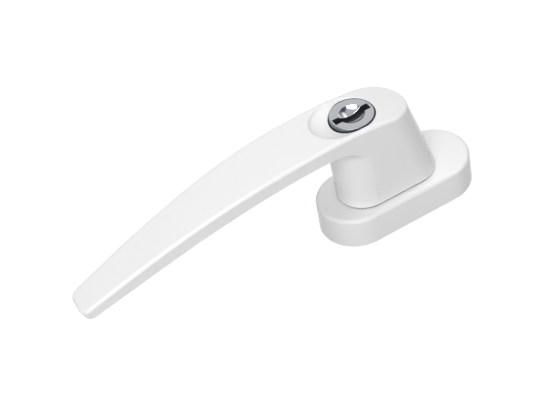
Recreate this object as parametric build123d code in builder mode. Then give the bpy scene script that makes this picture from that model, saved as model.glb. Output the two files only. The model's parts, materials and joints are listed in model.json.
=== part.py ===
# Locking window handle: an arched lever on a flat-sided neck, turning on an obround rosette,
# with a key lock in the head of the neck that drives a bolt down into the rosette.
# Millimetres. Origin: the spindle axis in the plane of the window sash. +Z points out of the
# sash, the lever lies along -X at rest, and the rosette's long axis is X.
from build123d import *
from math import atan, cos, degrees, pi, radians, sin, sqrt, tan
import os

os.makedirs("parts", exist_ok=True)

# Rosette
rosette_length = 68.0
rosette_width = 31.0
rosette_height = 13.7
rosette_inset = 0.3
rosette_edge_radius = 1.7
cover_wall = 1.8
cover_roof = 1.8
cover_gap = 0.25
base_top_gap = 0.3
clip_length = 12.0
clip_reach = 0.5
clip_height = 0.8
clip_level = 8.4

# Fixing to the sash
screw_spacing = 43.0
screw_diameter = 5.0
screw_length = 40.0
screw_shank_diameter = 4.4
thread_length = 25.4
screw_head_diameter = 9.2
screw_head_sink = 0.2
screw_hole_clearance = 0.15
screw_recess_width = 0.9
screw_recess_length = 4.6
screw_recess_depth = 1.7
lug_diameter = 10.0
lug_height = 2.6

# Spindle, detent and bearing
spindle_side = 7.0
spindle_reach = 35.0
spindle_top = 38.0
spindle_chamfer = 0.8
square_clearance = 0.05
web_hole = 5.6
ring_thickness = 0.6
ring_width = 2.1
ring_bite = 0.95
ring_gap_angle = 70.0
back_plate_thickness = 1.2
back_plate_length = 30.0
back_plate_width = 23.2
back_plate_screw_x = 12.9
back_plate_screw_diameter = 2.5
back_plate_screw_length = 4.6
back_plate_screw_head = 4.7
back_plate_corner = 1.0
back_plate_hole = 5.4
cam_across_flats = 16.0
cam_across_corners = 18.6
cam_thickness = 3.4
leaf_length = 26.0
leaf_thickness = 0.8
leaf_gap = 0.1
leaf_end_gap = 0.4
cavity_side = 20.8
bearing_web = 1.4
bush_wall = 1.15
collar_diameter = 14.0
collar_length = 5.7
collar_end_gap = 0.4
bush_hole_gap = 0.2
bush_sink = 0.1
running_gap = 0.05
press_gap = 0.05
small_gap = 0.3

# Neck of the handle
foot_gap = 0.6
foot_clearance = 0.15
foot_inset = 0.2
foot_radius = 11.5
head_radius = 12.1
head_level = 51.0
neck_lever_centre = -13.1
foot_far_centre = 6.65
head_far_centre = -3.9
flare_radius = 8.4
flare_overlap = 0.02
neck_floor = 3.85

# Lever
lever_tip = -135.5
lever_straight_end = -36.0
lever_blend = 44.0
lever_taper = 3.8
lever_spare = 2.0
tip_level = 30.2
tip_lean = 21.0
tip_corner_radius = 3.6
top_edge_radius = 1.3
lever_top = [(-116.4, 37.2), (-87.3, 46.15), (-58.1, 52.2), (-32.0, 54.35), (-7.1, 53.3)]
lever_top_start = (-145.0, 26.5)
lever_top_start_slope = 0.39
lever_top_end = (14.0, 48.7)
lever_top_end_slope = -0.27
lever_under = [(-101.8, 35.65), (-72.7, 43.16), (-43.5, 47.3)]
lever_under_start = (-145.0, 22.9)
lever_under_start_slope = 0.29
lever_under_level = 47.7
lever_under_flat = -28.0

# Thumb scoop round the lock
scoop_centre = -20.9
scoop_radius = 9.9
scoop_depth = 2.9
scoop_level = 54.25
scoop_rim_radius = 0.8

# Lock
lock_x = -13.8
face_top = 53.5
face_diameter = 17.4
face_thickness = 2.9
face_edge_radius = 0.3
face_rim_radius = 0.15
face_gap = 0.5
dimple_radius = 5.2
dimple_depth = 2.4
slot_length = 15.3
slot_width = 3.2
head_flange_diameter = 16.6
head_flange_thickness = 1.7
housing_diameter = 15.0
housing_bottom = 39.0
housing_web = 1.0
plug_diameter = 11.0
plug_gap = 0.06
keyway_length = 8.0
keyway_width = 2.4
tail_diameter = 7.2
tail_end = 27.5
wafer_count = 5
wafer_pitch = 1.55
wafer_thickness = 0.8
wafer_first = 40.9
wafer_width = 4.8
wafer_window_length = 6.6
wafer_window_width = 2.6
wafer_travel = 1.0
wafer_slot_gap = 0.05
wafer_end_gap = 0.15
ear_inner = 0.4
ear_length = 1.0
ear_height = 1.5
wafer_spring_length = 3.0
wafer_spring_diameter = 0.9
spring_side = 0.9
pocket_end_gap = 0.2
groove_depth = 1.2
groove_width = 5.3
clip_ring_thickness = 0.6
clip_ring_diameter = 10.4
clip_ring_bite = 0.6
clip_ring_gap = 0.4
clip_ring_gap_angle = 60.0

# Bolt that the key drives
bolt_diameter = 5.0
bolt_offset = 1.5
bolt_travel = 6.0
bolt_rest_end = 14.4
bolt_hole_gap = 0.4
bolt_hole_floor = 7.9
key_turn = 180.0
sleeve_diameter = 12.4
sleeve_bottom = 24.5
sleeve_web = 2.5
sleeve_top = 37.6
sleeve_bore_gap = 0.3
sleeve_cavity_gap = 0.4
drive_pin_diameter = 2.0
drive_pin_level = 29.0
drive_pin_inset = 0.3
slot_overrun = 0.6
bolt_chamfer = 0.6
drive_slot_gap = 0.45

# Fastening in the neck
grub_diameter = 5.0
grub_length = 7.4
grub_level = 26.0
grub_socket = 2.5
grub_socket_depth = 2.4
housing_pin_diameter = 2.0
housing_pin_length = 15.0
housing_pin_level = 44.5
housing_pin_offset = 0.5
housing_pin_sink = 0.2

# Heights and widths that follow from the sizes above
base_height = rosette_height - cover_roof - base_top_gap
base_radius = rosette_width / 2 - cover_wall - rosette_inset - cover_gap
base_straight = rosette_length - rosette_width
foot_level = rosette_height + foot_gap
foot_bottom = rosette_height + foot_clearance
collar_end = foot_bottom - collar_length
web_top = collar_end - collar_end_gap
web_bottom = web_top - bearing_web
cam_bottom = web_bottom - small_gap - cam_thickness
ring_bottom = cam_bottom - small_gap - ring_thickness
bush_outer = collar_diameter / 2 + running_gap + bush_wall
cover_hole = bush_outer + bush_hole_gap
square_hole = spindle_side + 2 * square_clearance
bolt_x = lock_x + bolt_offset
bolt_hole_radius = bolt_diameter / 2 + bolt_hole_gap
screw_hole = screw_diameter / 2 + screw_hole_clearance
screw_places = [(-screw_spacing / 2, 0), (screw_spacing / 2, 0)]
leaf_inner = cam_across_flats / 2 + leaf_gap
ring_groove = spindle_side / 2 * sqrt(2) - ring_bite
ring_outer = ring_groove + ring_width
bush_top = rosette_height - bush_sink
back_plate_screw_places = [(-back_plate_screw_x, 0), (back_plate_screw_x, 0)]
face_bottom = face_top - face_thickness
flange_bottom = face_bottom - head_flange_thickness
housing_top = flange_bottom - small_gap
face_hole = face_diameter / 2 + face_gap
housing_hole = housing_diameter / 2 + running_gap
plug_bottom = housing_bottom + housing_web + small_gap
tail_hole = tail_diameter / 2 + plug_gap
cavity_radius = sleeve_diameter / 2 + sleeve_cavity_gap
neck_floor_top = foot_level + neck_floor
sleeve_bore = tail_diameter / 2 + sleeve_bore_gap
clip_ring_bottom = housing_bottom - clip_ring_gap - clip_ring_thickness
clip_ring_groove = tail_diameter / 2 - clip_ring_bite
plug_bore = plug_diameter / 2 + plug_gap


def neck_radius(level):
    # Half the neck's width at a height: the flat sides lean out evenly towards the top.
    return foot_radius + (head_radius - foot_radius) * (level - foot_level) / (head_level - foot_level)


def far_centre(level):
    # Centre of the round end away from the lever: it moves inwards towards the top.
    share = (level - foot_level) / (head_level - foot_level)
    return foot_far_centre + (head_far_centre - foot_far_centre) * share


def plan_outline(level):
    # Outline of lever and neck seen from above, with the lever's end left long for its cut.
    half = neck_radius(level)
    slope = tan(radians(lever_taper))
    blend_half = half - lever_blend * slope / 2
    blend_end = lever_straight_end - lever_blend
    end = lever_top_start[0] + lever_spare
    end_half = blend_half - (blend_end - end) * slope
    centre = far_centre(level)
    with BuildSketch(Plane.XY.offset(level)) as outline:
        with BuildLine():
            Line((end, end_half), (blend_end, blend_half))
            blend = TangentArc(
                (blend_end, blend_half), (lever_straight_end, half), tangent=(1, slope)
            )
            Line(blend @ 1, (centre, half))
            ThreePointArc((centre, half), (centre + half, 0), (centre, -half))
            Line((centre, -half), (lever_straight_end, -half))
            back = TangentArc(
                (lever_straight_end, -half), (blend_end, -blend_half), tangent=(-1, 0)
            )
            Line(back @ 1, (end, -end_half))
            Line((end, -end_half), (end, end_half))
        make_face()
    return outline.sketch


# Space under the lever, left of the neck: the neck's round end flares into the underside.
with BuildPart() as under_space:
    with BuildSketch(Plane.XZ.offset(-rosette_width)):
        with BuildLine():
            under = Spline(
                [lever_under_start, *lever_under, (lever_under_flat, lever_under_level)],
                tangents=[(1, lever_under_start_slope), (1, 0)],
            )
            Line(under @ 1, (neck_lever_centre, lever_under_level))
            Line((neck_lever_centre, lever_under_level), (neck_lever_centre, 0))
            Line((neck_lever_centre, 0), (lever_under_start[0], 0))
            Line((lever_under_start[0], 0), lever_under_start)
        make_face()
    extrude(amount=2 * rosette_width)
    flare_start = lever_under_level - flare_radius
    flare_top = lever_under_level + flare_radius / 2
    with BuildSketch(Plane.XZ):
        with BuildLine():
            low = (neck_lever_centre - neck_radius(0) - flare_overlap, 0)
            tangent = (neck_lever_centre - neck_radius(flare_start) - flare_overlap, flare_start)
            rim = (tangent[0] - flare_radius, lever_under_level)
            Line((neck_lever_centre, 0), low)
            Line(low, tangent)
            RadiusArc(tangent, rim, -flare_radius)
            Line(rim, (rim[0], flare_top))
            Line((rim[0], flare_top), (neck_lever_centre, flare_top))
            Line((neck_lever_centre, flare_top), (neck_lever_centre, 0))
        make_face()
    revolve(axis=Axis((neck_lever_centre, 0, 0), (0, 0, 1)), mode=Mode.SUBTRACT)


# Everything above the lever's arched top, which falls gently over the head of the neck.
with BuildPart() as over_space:
    with BuildSketch(Plane.XZ.offset(-rosette_width)):
        with BuildLine():
            top = Spline(
                [lever_top_start, *lever_top, lever_top_end],
                tangents=[(1, lever_top_start_slope), (1, lever_top_end_slope)],
            )
            beyond = Line(top @ 1, (top @ 1) + Vector(1, lever_top_end_slope) * head_radius)
            ceiling = head_level + 2 * head_radius
            Line(beyond @ 1, ((beyond @ 1).X, ceiling))
            Line(((beyond @ 1).X, ceiling), (lever_top_start[0], ceiling))
            Line((lever_top_start[0], ceiling), lever_top_start)
        make_face()
    extrude(amount=2 * rosette_width)

# Waste beyond the lever's end, which is cut square to its top.
with BuildPart() as end_space:
    lean_x = sin(radians(tip_lean)) * head_level
    lean_z = cos(radians(tip_lean)) * head_level
    with BuildSketch(Plane.XZ.offset(-rosette_width)):
        with BuildLine():
            Polyline(
                (lever_tip - lean_x, tip_level + lean_z),
                (lever_tip + lean_x, tip_level - lean_z),
                (2 * lever_tip, tip_level - lean_z),
                (2 * lever_tip, tip_level + lean_z),
                close=True,
            )
        make_face()
    extrude(amount=2 * rosette_width)

# Dish for the thumb: half an ellipse turned at both ends and drawn along between them.
scoop_roof = scoop_level + scoop_depth
with BuildPart() as scoop:
    for place in (scoop_centre, lock_x):
        with BuildSketch(Plane(origin=(place, 0, 0), x_dir=(1, 0, 0), z_dir=(0, -1, 0))):
            with BuildLine():
                EllipticalCenterArc(
                    (0, scoop_level), scoop_radius, scoop_depth, start_angle=270, arc_size=90
                )
                Polyline(
                    (scoop_radius, scoop_level),
                    (scoop_radius, scoop_roof),
                    (0, scoop_roof),
                    (0, scoop_level - scoop_depth),
                )
            make_face()
        revolve(axis=Axis((place, 0, 0), (0, 0, 1)))
    with BuildSketch(Plane(origin=(scoop_centre, 0, 0), x_dir=(0, 1, 0), z_dir=(1, 0, 0))):
        with BuildLine():
            EllipticalCenterArc(
                (0, scoop_level), scoop_radius, scoop_depth, start_angle=180, arc_size=180
            )
            Polyline(
                (scoop_radius, scoop_level),
                (scoop_radius, scoop_roof),
                (-scoop_radius, scoop_roof),
                (-scoop_radius, scoop_level),
            )
        make_face()
    extrude(amount=lock_x - scoop_centre)


def square(side, level, height, mode=Mode.ADD, corner=0.0):
    # A square bar or hole about the spindle axis.
    with BuildSketch(Plane.XY.offset(level)) as profile:
        Rectangle(side, side)
        if corner:
            Circle(corner, mode=Mode.INTERSECT)
    extrude(profile.sketch, amount=height, mode=mode)


def disc(radius, level, height, mode=Mode.ADD, x=0.0, bore=0.0):
    # A round disc, ring or hole standing at a place on the X axis.
    with BuildSketch(Plane.XY.offset(level)) as profile:
        with Locations((x, 0)):
            Circle(radius)
            if bore:
                Circle(bore, mode=Mode.SUBTRACT)
    extrude(profile.sketch, amount=height, mode=mode)


def open_ring(outer, inner, thickness, level, x, gap_angle):
    # A retaining ring: a flat ring with a gap, made to spring over its shaft.
    disc(outer, level, thickness, x=x, bore=inner)
    reach = 2 * outer
    spread = reach * tan(radians(gap_angle / 2))
    with BuildSketch(Plane.XY.offset(level)) as gap:
        with BuildLine():
            Polyline((x, 0), (x - reach, spread), (x - reach, -spread), close=True)
        make_face()
    extrude(gap.sketch, amount=thickness, mode=Mode.SUBTRACT)


def rod(radius, x, level, start, end, mode=Mode.ADD):
    # A round rod or hole lying along Y.
    with Locations(Plane(origin=(x, start, level), z_dir=(0, 1, 0))):
        Cylinder(radius, end - start, align=(Align.CENTER, Align.CENTER, Align.MIN), mode=mode)


def countersunk(shaft, head, flat, end, places, mode=Mode.ADD):
    # Countersunk screws or their holes: 90 degree heads from the level "flat", shafts to "end".
    inward = 1 if end > flat else -1
    neck = flat + inward * (head - shaft)
    with BuildSketch(Plane.XZ) as profile:
        with BuildLine():
            Polyline((0, flat), (head, flat), (shaft, neck), (shaft, end), (0, end), close=True)
        make_face()
    with BuildPart(mode=Mode.PRIVATE) as screw:
        revolve(profile.sketch, axis=Axis.Z)
    with Locations(*places):
        add(screw.part, mode=mode)


def cross_recess(length, width, depth, level, places):
    # Cross-shaped driver recess cut downwards from a level.
    with BuildSketch(Plane.XY.offset(level)) as profile:
        with Locations(*places):
            Rectangle(length, width)
            Rectangle(width, length)
    extrude(profile.sketch, amount=-depth, mode=Mode.SUBTRACT)


# Handle: lever and neck in one casting, bored for lock, bolt and spindle. The neck stands on
# a shallow bare step, set in from the coated edge, which leaves a dark joint round the foot.
housing_pin_x = lock_x + housing_diameter / 2 + housing_pin_offset
housing_pin_end = neck_radius(housing_pin_level) - housing_pin_sink
housing_pin_start = housing_pin_end - housing_pin_length
with BuildPart() as handle_casting:
    loft([plan_outline(foot_level), plan_outline(head_level + head_radius)], ruled=True)
    add(under_space.part, mode=Mode.SUBTRACT)
    add(over_space.part, mode=Mode.SUBTRACT)
    add(end_space.part, mode=Mode.SUBTRACT)
    tip_face = handle_casting.faces().sort_by(Axis.X)[0]
    fillet(
        tip_face.edges().filter_by(lambda edge: abs(edge.center().Y) > tip_corner_radius),
        radius=tip_corner_radius,
    )
    top_face = handle_casting.faces().sort_by(Axis.Z)[-1]
    fillet(top_face.edges(), radius=top_edge_radius)
    add(scoop.part, mode=Mode.SUBTRACT)
    top_face = handle_casting.faces().filter_by(lambda face: face.inner_wires())[0]
    fillet(top_face.inner_wires()[0].edges(), radius=scoop_rim_radius)
    disc(face_hole, housing_top, head_radius, Mode.SUBTRACT, lock_x)
    disc(housing_hole, housing_bottom, housing_top - housing_bottom, Mode.SUBTRACT, lock_x)
    disc(cavity_radius, neck_floor_top, housing_bottom - neck_floor_top, Mode.SUBTRACT, lock_x)
    with BuildSketch(Plane.XY.offset(foot_bottom)):
        with Locations(((foot_far_centre + neck_lever_centre) / 2, 0)):
            SlotCenterToCenter(
                foot_far_centre - neck_lever_centre, 2 * (foot_radius - foot_inset)
            )
    extrude(amount=foot_level - foot_bottom)
    disc(collar_diameter / 2, collar_end, foot_level - collar_end)
    square(square_hole, collar_end, spindle_top + small_gap - collar_end, Mode.SUBTRACT)
    bolt_bore = bolt_diameter / 2 + running_gap
    disc(bolt_bore, foot_bottom, neck_floor_top - foot_bottom, Mode.SUBTRACT, bolt_x)
    rod(grub_diameter / 2 + running_gap, 0, grub_level, 0, 2 * head_radius, Mode.SUBTRACT)
    rod(
        housing_pin_diameter / 2 + press_gap,
        housing_pin_x,
        housing_pin_level,
        housing_pin_start,
        2 * head_radius,
        Mode.SUBTRACT,
    )

# Square spindle through the rosette into the window's gear, with a groove across its corners.
with BuildPart() as spindle:
    square(spindle_side, -spindle_reach, spindle_reach + spindle_top)
    chamfer(spindle.faces().filter_by(Axis.Z).edges(), spindle_chamfer)
    with BuildSketch(Plane.XY.offset(ring_bottom - press_gap)):
        Rectangle(2 * spindle_side, 2 * spindle_side)
        Circle(ring_groove, mode=Mode.SUBTRACT)
    extrude(amount=ring_thickness + 2 * press_gap, mode=Mode.SUBTRACT)

# Ring in that groove, which keeps cam and spindle in the rosette.
with BuildPart() as spindle_ring:
    open_ring(ring_outer, ring_groove + running_gap, ring_thickness, ring_bottom, 0, ring_gap_angle)

# Detent cam: its four flats give the lever four rest positions.
with BuildPart() as detent_cam:
    square(cam_across_flats, cam_bottom, cam_thickness, corner=cam_across_corners / 2)
    square(square_hole, cam_bottom, cam_thickness, Mode.SUBTRACT)

# Grub screw that holds the handle on the spindle, from the hidden side of the neck.
grub_start = spindle_side / 2
grub_end = grub_start + grub_length
with BuildPart() as grub_screw:
    rod(grub_diameter / 2, 0, grub_level, grub_start, grub_end)
    with BuildSketch(Plane(origin=(0, grub_end, grub_level), z_dir=(0, 1, 0))):
        RegularPolygon(grub_socket / 2, 6, major_radius=False)
    extrude(amount=-grub_socket_depth, mode=Mode.SUBTRACT)

# Lock housing in the neck's head: bore for the plug, two grooves for the wafers.
with BuildPart() as lock_housing:
    disc(housing_diameter / 2, housing_bottom, housing_top - housing_bottom, x=lock_x)
    bore_bottom = housing_bottom + housing_web
    disc(plug_bore, bore_bottom, housing_top - bore_bottom, Mode.SUBTRACT, lock_x)
    disc(tail_hole, housing_bottom, housing_web, Mode.SUBTRACT, lock_x)
    with BuildSketch(Plane.XY.offset(bore_bottom)):
        with Locations((lock_x, 0)):
            Rectangle(2 * (plug_bore + groove_depth), groove_width)
    extrude(amount=housing_top - bore_bottom, mode=Mode.SUBTRACT)
    rod(
        housing_pin_diameter / 2 + press_gap,
        housing_pin_x,
        housing_pin_level,
        -housing_diameter,
        housing_diameter,
        Mode.SUBTRACT,
    )

# Pin across the edge of the housing, which locks it in the casting.
with BuildPart() as housing_pin:
    rod(
        housing_pin_diameter / 2,
        housing_pin_x,
        housing_pin_level,
        housing_pin_start,
        housing_pin_end,
    )

# Plug: head flange, barrel with keyway and wafer slots, and the tail that carries the pin.
wafer_levels = [wafer_first + wafer_pitch * number for number in range(wafer_count)]
keyway_bottom = wafer_first - wafer_slot_gap
pocket_start = ear_inner - wafer_spring_length - 2 * press_gap - pocket_end_gap
pocket_end = ear_inner + ear_length + wafer_travel + pocket_end_gap
pocket_side = wafer_width / 2 + ear_height + pocket_end_gap
with BuildPart() as plug:
    disc(head_flange_diameter / 2, flange_bottom, head_flange_thickness, x=lock_x)
    disc(plug_diameter / 2, plug_bottom, flange_bottom - plug_bottom, x=lock_x)
    disc(tail_diameter / 2, tail_end, plug_bottom - tail_end, x=lock_x)
    with BuildSketch(Plane.XY.offset(flange_bottom)):
        with Locations((lock_x, 0)):
            Rectangle(slot_length, slot_width)
    extrude(amount=head_flange_thickness, mode=Mode.SUBTRACT)
    with BuildSketch(Plane.XY.offset(keyway_bottom)):
        with Locations((lock_x, 0)):
            Rectangle(keyway_length, keyway_width)
    extrude(amount=flange_bottom - keyway_bottom, mode=Mode.SUBTRACT)
    for level in wafer_levels:
        with BuildSketch(Plane.XY.offset(level - wafer_slot_gap)):
            with Locations((lock_x, 0)):
                Rectangle(2 * plug_diameter, wafer_width + 2 * wafer_slot_gap)
            with Locations((lock_x + (pocket_start + pocket_end) / 2, pocket_side / 2)):
                Rectangle(pocket_end - pocket_start, pocket_side)
        extrude(amount=wafer_thickness + 2 * wafer_slot_gap, mode=Mode.SUBTRACT)
    with BuildSketch(Plane.XY.offset(clip_ring_bottom - press_gap)):
        with Locations((lock_x, 0)):
            Circle(tail_diameter)
            Circle(clip_ring_groove, mode=Mode.SUBTRACT)
    extrude(amount=clip_ring_thickness + 2 * press_gap, mode=Mode.SUBTRACT)
    rod(
        drive_pin_diameter / 2 + press_gap,
        lock_x,
        drive_pin_level,
        -tail_diameter,
        tail_diameter,
        Mode.SUBTRACT,
    )

# Face of the lock: polished dimple with the key slot across it.
dimple_sphere = (dimple_radius**2 + dimple_depth**2) / (2 * dimple_depth)
with BuildPart() as lock_face:
    disc(face_diameter / 2, face_bottom, face_thickness, x=lock_x)
    fillet(lock_face.faces().sort_by(Axis.Z)[-1].edges(), radius=face_edge_radius)
    with Locations((lock_x, 0, face_top - dimple_depth + dimple_sphere)):
        Sphere(dimple_sphere, mode=Mode.SUBTRACT)
    with BuildSketch(Plane.XY.offset(face_bottom)):
        with Locations((lock_x, 0)):
            Rectangle(slot_length, slot_width)
    extrude(amount=face_thickness, mode=Mode.SUBTRACT)
    rim_edges = lock_face.edges().filter_by(
        lambda edge: edge.bounding_box().min.Z > face_bottom
        and edge.length < face_diameter
        and abs(edge.center().X - lock_x) < face_diameter / 2 - face_edge_radius
    )
    fillet(rim_edges, radius=face_rim_radius)

# Ring on the tail that keeps the plug in the housing.
with BuildPart() as plug_clip:
    open_ring(
        clip_ring_diameter / 2,
        clip_ring_groove + running_gap,
        clip_ring_thickness,
        clip_ring_bottom,
        lock_x,
        clip_ring_gap_angle,
    )

# Pin across the tail, whose ends run in the two slots of the bolt.
drive_pin_reach = sleeve_diameter / 2 - drive_pin_inset
with BuildPart() as drive_pin:
    rod(drive_pin_diameter / 2, lock_x, drive_pin_level, -drive_pin_reach, drive_pin_reach)

# Springs that push the wafers out towards +X.
with BuildPart() as wafer_springs:
    for level in wafer_levels:
        spring_end = lock_x + ear_inner - 2 * press_gap
        centre = (spring_end, wafer_width / 2 + spring_side, level + wafer_thickness / 2)
        with Locations(Plane(origin=centre, z_dir=(-1, 0, 0))):
            Cylinder(
                wafer_spring_diameter / 2,
                wafer_spring_length,
                align=(Align.CENTER, Align.CENTER, Align.MIN),
            )


def wafer(level):
    # Wafer: a flat plate with the key's window and an ear that the spring pushes.
    with BuildPart() as plate:
        with BuildSketch(Plane.XY.offset(level)) as outline:
            with Locations((lock_x, 0)):
                Circle(plug_diameter / 2 - wafer_end_gap)
                Rectangle(2 * plug_diameter, wafer_width, mode=Mode.INTERSECT)
                Rectangle(wafer_window_length, wafer_window_width, mode=Mode.SUBTRACT)
            with Locations((lock_x + ear_inner, 0)):
                Rectangle(
                    ear_length,
                    wafer_width / 2 + ear_height,
                    align=(Align.MIN, Align.MIN),
                )
            with Locations((lock_x, 0)):
                Rectangle(wafer_window_length, wafer_window_width, mode=Mode.SUBTRACT)
        extrude(amount=wafer_thickness)
    return plate.part


wafers = [wafer(level) for level in wafer_levels]

# Cutter for one slot of the bolt: half a turn of a left-hand screw line with round ends.
pin_path_radius = (sleeve_bore + sleeve_diameter / 2) / 2
slot_half = drive_pin_diameter / 2 + drive_slot_gap
slot_reach = sleeve_diameter / 2 - sleeve_bore + 2 * slot_overrun
with BuildPart() as cam_slot:
    with BuildLine() as course:
        Helix(
            pitch=bolt_travel * 360 / key_turn,
            height=bolt_travel,
            radius=pin_path_radius,
            lefthand=True,
        )
    with BuildSketch(Plane(origin=(pin_path_radius, 0, 0), x_dir=(1, 0, 0), z_dir=(0, -1, 0))):
        Rectangle(slot_reach, 2 * slot_half)
    sweep(path=course.wire(), is_frenet=True)
    for side, level in ((1, 0), (-1, bolt_travel)):
        with Locations(Plane(origin=(side * pin_path_radius, 0, level), z_dir=(1, 0, 0))):
            Cylinder(slot_half, slot_reach)

# Bolt: a sleeve that the pin drives up and down, with the locking pin set off its centre.
with BuildPart() as lock_bolt:
    disc(bolt_diameter / 2, bolt_rest_end, sleeve_bottom - bolt_rest_end, x=bolt_x)
    disc(sleeve_diameter / 2, sleeve_bottom, sleeve_top - sleeve_bottom, x=lock_x)
    bore_floor = sleeve_bottom + sleeve_web
    disc(sleeve_bore, bore_floor, sleeve_top - bore_floor, Mode.SUBTRACT, lock_x)
    for angle in (90, -90):
        with Locations((lock_x, 0, drive_pin_level)):
            add(cam_slot.part, rotation=(0, 0, angle), mode=Mode.SUBTRACT)
    chamfer(lock_bolt.faces().sort_by(Axis.Z)[0].edges(), bolt_chamfer)

# Base plate of the rosette: cavity for the detent, seat for the bush, two lugs for the sash.
with BuildPart() as base_plate:
    with BuildSketch():
        SlotOverall(base_straight + 2 * base_radius, 2 * base_radius)
    extrude(amount=base_height)
    with BuildSketch(Plane.XY.offset(-lug_height)):
        with Locations(*screw_places):
            Circle(lug_diameter / 2)
    extrude(amount=lug_height)
    with BuildSketch():
        RectangleRounded(
            back_plate_length + small_gap, back_plate_width + small_gap, back_plate_corner
        )
    extrude(amount=back_plate_thickness, mode=Mode.SUBTRACT)
    with BuildSketch():
        Rectangle(cavity_side, cavity_side)
        for side in (-1, 1):
            with Locations((0, side * (leaf_inner + leaf_thickness / 2))):
                Rectangle(leaf_length + small_gap, leaf_thickness + 2 * leaf_gap)
    extrude(amount=web_bottom, mode=Mode.SUBTRACT)
    disc(web_hole, web_bottom, bearing_web, Mode.SUBTRACT)
    disc(bush_outer + running_gap, web_top, base_height - web_top, Mode.SUBTRACT)
    for side in (-1, 1):
        disc(bolt_hole_radius, bolt_hole_floor, base_height, Mode.SUBTRACT, side * bolt_x)
    countersunk(
        screw_hole,
        screw_head_diameter / 2 + screw_hole_clearance + screw_head_sink,
        base_height,
        -2 * lug_height,
        screw_places,
        Mode.SUBTRACT,
    )
    with BuildSketch(Plane.XY.offset(back_plate_thickness)):
        with Locations(*back_plate_screw_places):
            Circle(back_plate_screw_diameter / 2 + press_gap)
    extrude(amount=back_plate_screw_length - back_plate_thickness + small_gap, mode=Mode.SUBTRACT)
    with BuildSketch(Plane.XY.offset(clip_level - small_gap)):
        for side in (-1, 1):
            with Locations((0, side * base_radius)):
                Rectangle(clip_length + small_gap, 2 * (clip_reach + small_gap))
    extrude(amount=clip_height + small_gap, mode=Mode.SUBTRACT)

# Bush in which the collar of the handle turns.
with BuildPart() as neck_bush:
    disc(bush_outer, web_top, bush_top - web_top, bore=collar_diameter / 2 + running_gap)

# Leaf springs that press on the flats of the cam.
for name, side in (("leaf_spring_front", -1), ("leaf_spring_rear", 1)):
    with BuildPart() as leaf:
        with BuildSketch(Plane.XY.offset(back_plate_thickness + leaf_end_gap)):
            with Locations((0, side * (leaf_inner + leaf_thickness / 2))):
                Rectangle(leaf_length, leaf_thickness)
        extrude(amount=web_bottom - back_plate_thickness - 2 * leaf_end_gap)
    leaf.part.label = name
    export_step(leaf.part, f"parts/{name}.step")

# Plate that closes the cavity from behind, with its two countersunk screws.
with BuildPart() as back_plate:
    with BuildSketch():
        RectangleRounded(back_plate_length, back_plate_width, back_plate_corner)
        Circle(back_plate_hole, mode=Mode.SUBTRACT)
    extrude(amount=back_plate_thickness)
    countersunk(
        back_plate_screw_diameter / 2 + screw_hole_clearance,
        back_plate_screw_head / 2 + screw_hole_clearance,
        0,
        2 * back_plate_thickness,
        back_plate_screw_places,
        Mode.SUBTRACT,
    )

with BuildPart() as plate_screws:
    countersunk(
        back_plate_screw_diameter / 2,
        back_plate_screw_head / 2,
        0,
        back_plate_screw_length,
        back_plate_screw_places,
    )

# The two countersunk screws that hold the rosette on the sash: slim shanks, thicker threads.
screw_top = base_height - screw_head_sink
screw_end = screw_top - screw_length
with BuildPart() as fixing_screws:
    countersunk(
        screw_shank_diameter / 2,
        screw_head_diameter / 2,
        screw_top,
        screw_end + thread_length,
        screw_places,
    )
    with BuildSketch(Plane.XY.offset(screw_end)):
        with Locations(*screw_places):
            Circle(screw_diameter / 2)
    extrude(amount=thread_length)
    cross_recess(
        screw_recess_length,
        screw_recess_width,
        screw_recess_depth,
        screw_top,
        screw_places,
    )

# Cover of the rosette: a drafted shell with a round hole for the bearing and two for the bolt.
draft_angle = degrees(atan(rosette_inset / rosette_height))
with BuildPart() as rosette_cover:
    with BuildSketch():
        SlotOverall(rosette_length, rosette_width)
    extrude(amount=rosette_height, taper=draft_angle)
    fillet(rosette_cover.faces().sort_by(Axis.Z)[-1].edges(), radius=rosette_edge_radius)
    with BuildSketch():
        SlotOverall(rosette_length - 2 * cover_wall, rosette_width - 2 * cover_wall)
    extrude(amount=rosette_height - cover_roof, taper=draft_angle, mode=Mode.SUBTRACT)
    disc(cover_hole, 0, rosette_height, Mode.SUBTRACT)
    for side in (-1, 1):
        disc(bolt_hole_radius, 0, rosette_height, Mode.SUBTRACT, side * bolt_x)
    clip_root = (rosette_width - cover_wall) / 2
    clip_edge = base_radius - clip_reach
    with BuildSketch(Plane.XY.offset(clip_level)):
        for side in (-1, 1):
            with Locations((0, side * (clip_root + clip_edge) / 2)):
                Rectangle(clip_length, clip_root - clip_edge)
    extrude(amount=clip_height)

pieces = {
    "handle_casting": handle_casting.part,
    "spindle": spindle.part,
    "spindle_ring": spindle_ring.part,
    "detent_cam": detent_cam.part,
    "grub_screw": grub_screw.part,
    "lock_housing": lock_housing.part,
    "housing_pin": housing_pin.part,
    "plug": plug.part,
    "lock_face": lock_face.part,
    "plug_clip": plug_clip.part,
    "drive_pin": drive_pin.part,
    "wafer_springs": wafer_springs.part,
    "lock_bolt": lock_bolt.part,
    "base_plate": base_plate.part,
    "neck_bush": neck_bush.part,
    "back_plate": back_plate.part,
    "plate_screws": plate_screws.part,
    "fixing_screws": fixing_screws.part,
    "rosette_cover": rosette_cover.part,
}
for number, plate in enumerate(wafers, start=1):
    pieces[f"wafer_{number}"] = plate
for name, piece in pieces.items():
    piece.label = name
    export_step(piece, f"parts/{name}.step")
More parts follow.
